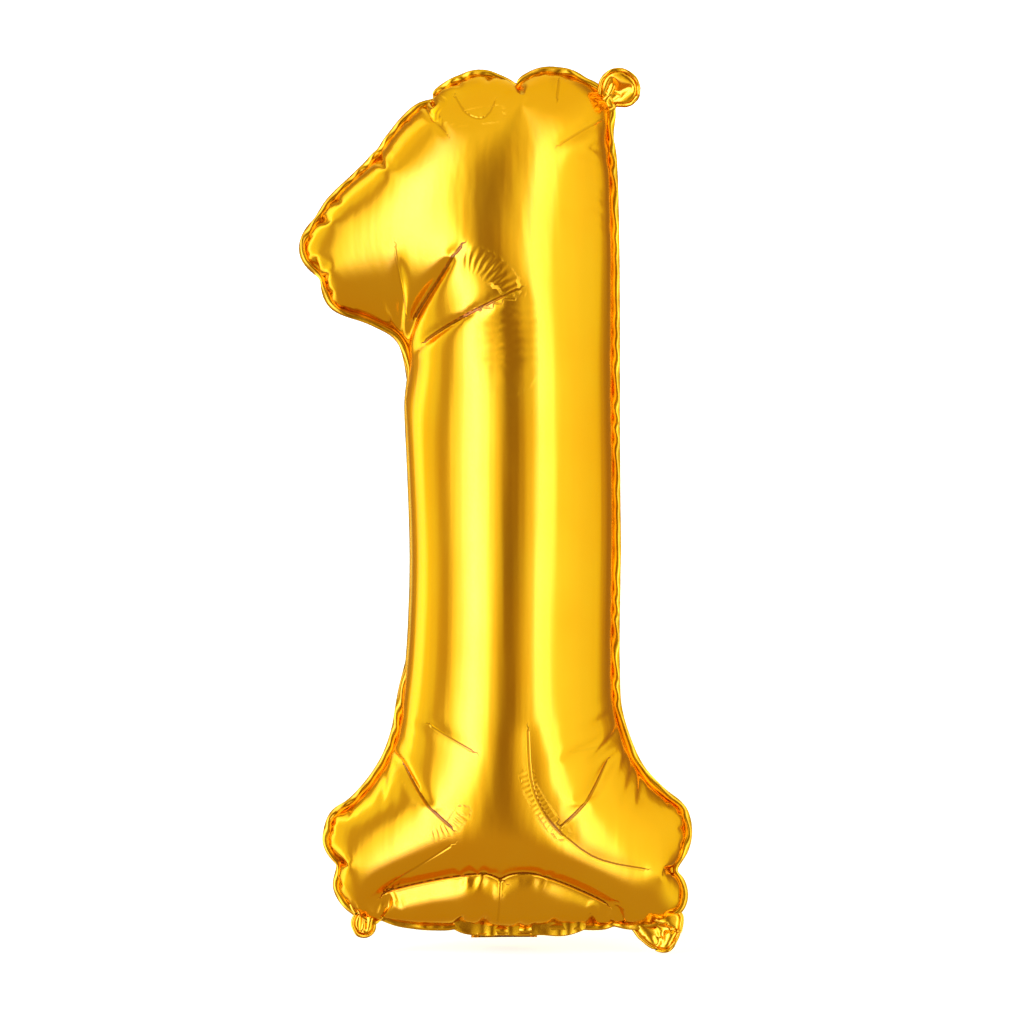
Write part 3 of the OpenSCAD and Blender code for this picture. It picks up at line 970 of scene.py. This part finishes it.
def make_tail_fold():
    """The film that turns from the neck to the tail."""
    low, high = box_mm("valve_neck")
    tail_low, tail_high = box_mm("tail_rear_foil")
    columns = np.linspace(low[0], high[0], 24)
    # A quarter turn from hanging straight down off the neck to lying back along the tail.
    turn = np.linspace(0, math.pi / 2, 9)
    overlap = 0.3
    top = low[2] + overlap
    radius = low[2] - (tail_low[2] + tail_high[2]) / 2 + overlap
    x, a = (g.ravel() for g in np.meshgrid(columns, turn))
    points = np.stack([x, radius * (1 - np.cos(a)), top - radius * np.sin(a)], 1)
    fold = make_piece("tail_fold_film", points, grid_faces(len(turn), len(columns)), "gold_film",
                      None, thickness=0.3, marks={"slack": np.full(len(points), FOLD_SLACK)})
    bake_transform(fold)


def make_valve():
    """The valve's two leaves of clear film, lying together inside the balloon."""
    for name, node, body, side in (("valve_front_film", "valve_front_leaf", "front_leaf", -1),
                                   ("valve_rear_film", "valve_rear_leaf", "rear_leaf", 1)):
        low, high = box_mm(node)
        flat_low, flat_high = low[[0, 2]] + [0, VALVE_START - VALVE_OVERLAP], high[[0, 2]]
        # The upper end is nearly a half circle.
        radius = (high[0] - low[0]) / 2 - 0.1
        loop = round_corner_box(flat_low, flat_high, radius, step=2.0)
        flat, cells = fill_loop(loop, step=2.5)
        share = (flat[:, 1] - low[2]) / (high[2] - low[2])
        y = (low[1] + high[1]) / 2 + side * 0.35 * share * (1 + np.sin(flat[:, 1] * 0.25 + side))
        points = np.stack([flat[:, 0], y, flat[:, 1]], 1)
        make_piece(name, points, cells, "clear_film", body, [node], thickness=0.12)


# ---------------------------------------------------------------- studio

# Brightness round the horizon, as (degrees to the right of the camera's own side, brightness).
STUDIO = [(-180, 1.0), (-168, 0.9), (-158, 0.4), (-142, 0.5), (-136, 1.6), (-122, 1.9), (-113, 0.95),
          (-100, 0.9), (-90, 0.55), (-80, 0.5), (-70, 1.3), (-45, 2.7), (-33, 2.4), (-27, 1.9),
          (-23, 0.95), (-15, 0.8), (-9, 0.27), (5, 0.25), (9, 0.5), (15, 0.75), (24, 0.9), (31, 2.3),
          (46, 2.1), (54, 1.1), (100, 0.95), (118, 0.9), (128, 0.55), (144, 0.36), (160, 0.38),
          (168, 0.9), (180, 1.0)]
STUDIO_PEAK = 3.0
CEILING = 0.85
BELOW = 0.5


def light_colour(level):
    """The colour of light of a level, as a share of the peak: warm where dim, white in a soft box."""
    green = level * np.interp(level, (0.3, 1.0), (0.6, 1.0))
    blue = level * np.interp(level, (0.8, 2.0, 2.7), (0.2, 0.8, 2.2))
    return (level / STUDIO_PEAK, green / STUDIO_PEAK, blue / STUDIO_PEAK, 1)


def make_world():
    """Soft boxes to the left and right, a darker gap at the camera, and a dimmer ceiling."""
    world = bpy.data.worlds.new("studio")
    bpy.context.scene.world = world
    world.use_nodes = True
    nodes, links = world.node_tree.nodes, world.node_tree.links
    background = nodes["Background"]
    coord = nodes.new("ShaderNodeTexCoord")
    split = nodes.new("ShaderNodeSeparateXYZ")
    links.new(coord.outputs["Generated"], split.inputs[0])
    forward = math_node(nodes, links, "MULTIPLY", split.outputs["Y"], -1)
    share = nodes.new("ShaderNodeMapRange")
    share.inputs["From Min"].default_value = -math.pi
    share.inputs["From Max"].default_value = math.pi
    links.new(math_node(nodes, links, "ARCTAN2", split.outputs["X"], forward), share.inputs["Value"])
    bands = nodes.new("ShaderNodeValToRGB")
    bands.color_ramp.interpolation = "EASE"
    stops = bands.color_ramp.elements
    stops.remove(stops[1])
    for k, (degrees, level) in enumerate(STUDIO):
        stop = stops[0] if k == 0 else stops.new((degrees + 180) / 360)
        stop.color = light_colour(level)
    links.new(share.outputs[0], bands.inputs["Fac"])
    # Above and below the soft boxes the room is dimmer.
    colour = bands.outputs["Color"]
    for start, end, level in ((0.5, 0.9, CEILING), (-0.35, -0.75, BELOW)):
        share = nodes.new("ShaderNodeMapRange")
        share.interpolation_type = "SMOOTHSTEP"
        share.inputs["From Min"].default_value = start
        share.inputs["From Max"].default_value = end
        links.new(split.outputs["Z"], share.inputs["Value"])
        mix = nodes.new("ShaderNodeMixRGB")
        mix.inputs["Color2"].default_value = light_colour(level)
        links.new(share.outputs[0], mix.inputs["Fac"])
        links.new(colour, mix.inputs["Color1"])
        colour = mix.outputs["Color"]
    links.new(colour, background.inputs["Color"])
    background.inputs["Strength"].default_value = STUDIO_PEAK


def make_floor():
    """A wide round floor that rises to a wall in one curve. The foil doesn't mirror it."""
    floor_radius, curve, wall = 1.6, 0.8, 2.4
    bend = np.linspace(0, math.pi / 2, 13)
    profile = [(r, 0) for r in np.linspace(0.02, floor_radius, 24)]
    profile += [(floor_radius + curve * math.sin(a), curve * (1 - math.cos(a))) for a in bend[1:]]
    profile += [(floor_radius + curve, z) for z in np.linspace(curve, wall, 8)[1:]]
    sides = 96
    points = [(r * math.cos(2 * math.pi * k / sides), r * math.sin(2 * math.pi * k / sides), z)
              for r, z in profile for k in range(sides)]
    faces = [tuple(range(sides))[::-1]]
    for ring in range(len(profile) - 1):
        start = ring * sides
        faces += [(start + k, start + (k + 1) % sides, start + sides + (k + 1) % sides,
                   start + sides + k) for k in range(sides)]
    mesh = bpy.data.meshes.new("studio_floor")
    mesh.from_pydata(points, [], faces)
    mesh.polygons.foreach_set("use_smooth", [True] * len(mesh.polygons))
    mesh.materials.append(floor_material())
    floor = bpy.data.objects.new("studio_floor", mesh)
    floor.location = (0, 0, cad_low[2] - 0.0005)
    floor.visible_glossy = False
    floor.visible_diffuse = False
    floor.visible_shadow = False
    bpy.context.scene.collection.objects.link(floor)


# Width of the view at the figure, and the middle of the view there, in metres.
VIEW_WIDTH = 0.4035
VIEW_MIDDLE = (0.0061, 0, 0.1738)


def make_camera():
    """A long lens straight in front, level with the figure's middle."""
    data = bpy.data.cameras.new("camera")
    data.lens = 135
    data.sensor_width = 36
    camera = bpy.data.objects.new("camera", data)
    distance = VIEW_WIDTH * data.lens / data.sensor_width
    camera.location = Vector(VIEW_MIDDLE) - Vector((0, distance, 0))
    camera.rotation_euler = (math.radians(90), 0, 0)
    bpy.context.scene.collection.objects.link(camera)
    bpy.context.scene.camera = camera


make_camera()
make_world()
make_floor()
make_envelope()
make_ears()
make_neck()
make_tail_fold()
make_tail()
make_valve()
bpy.context.scene.view_settings.view_transform = "Standard"
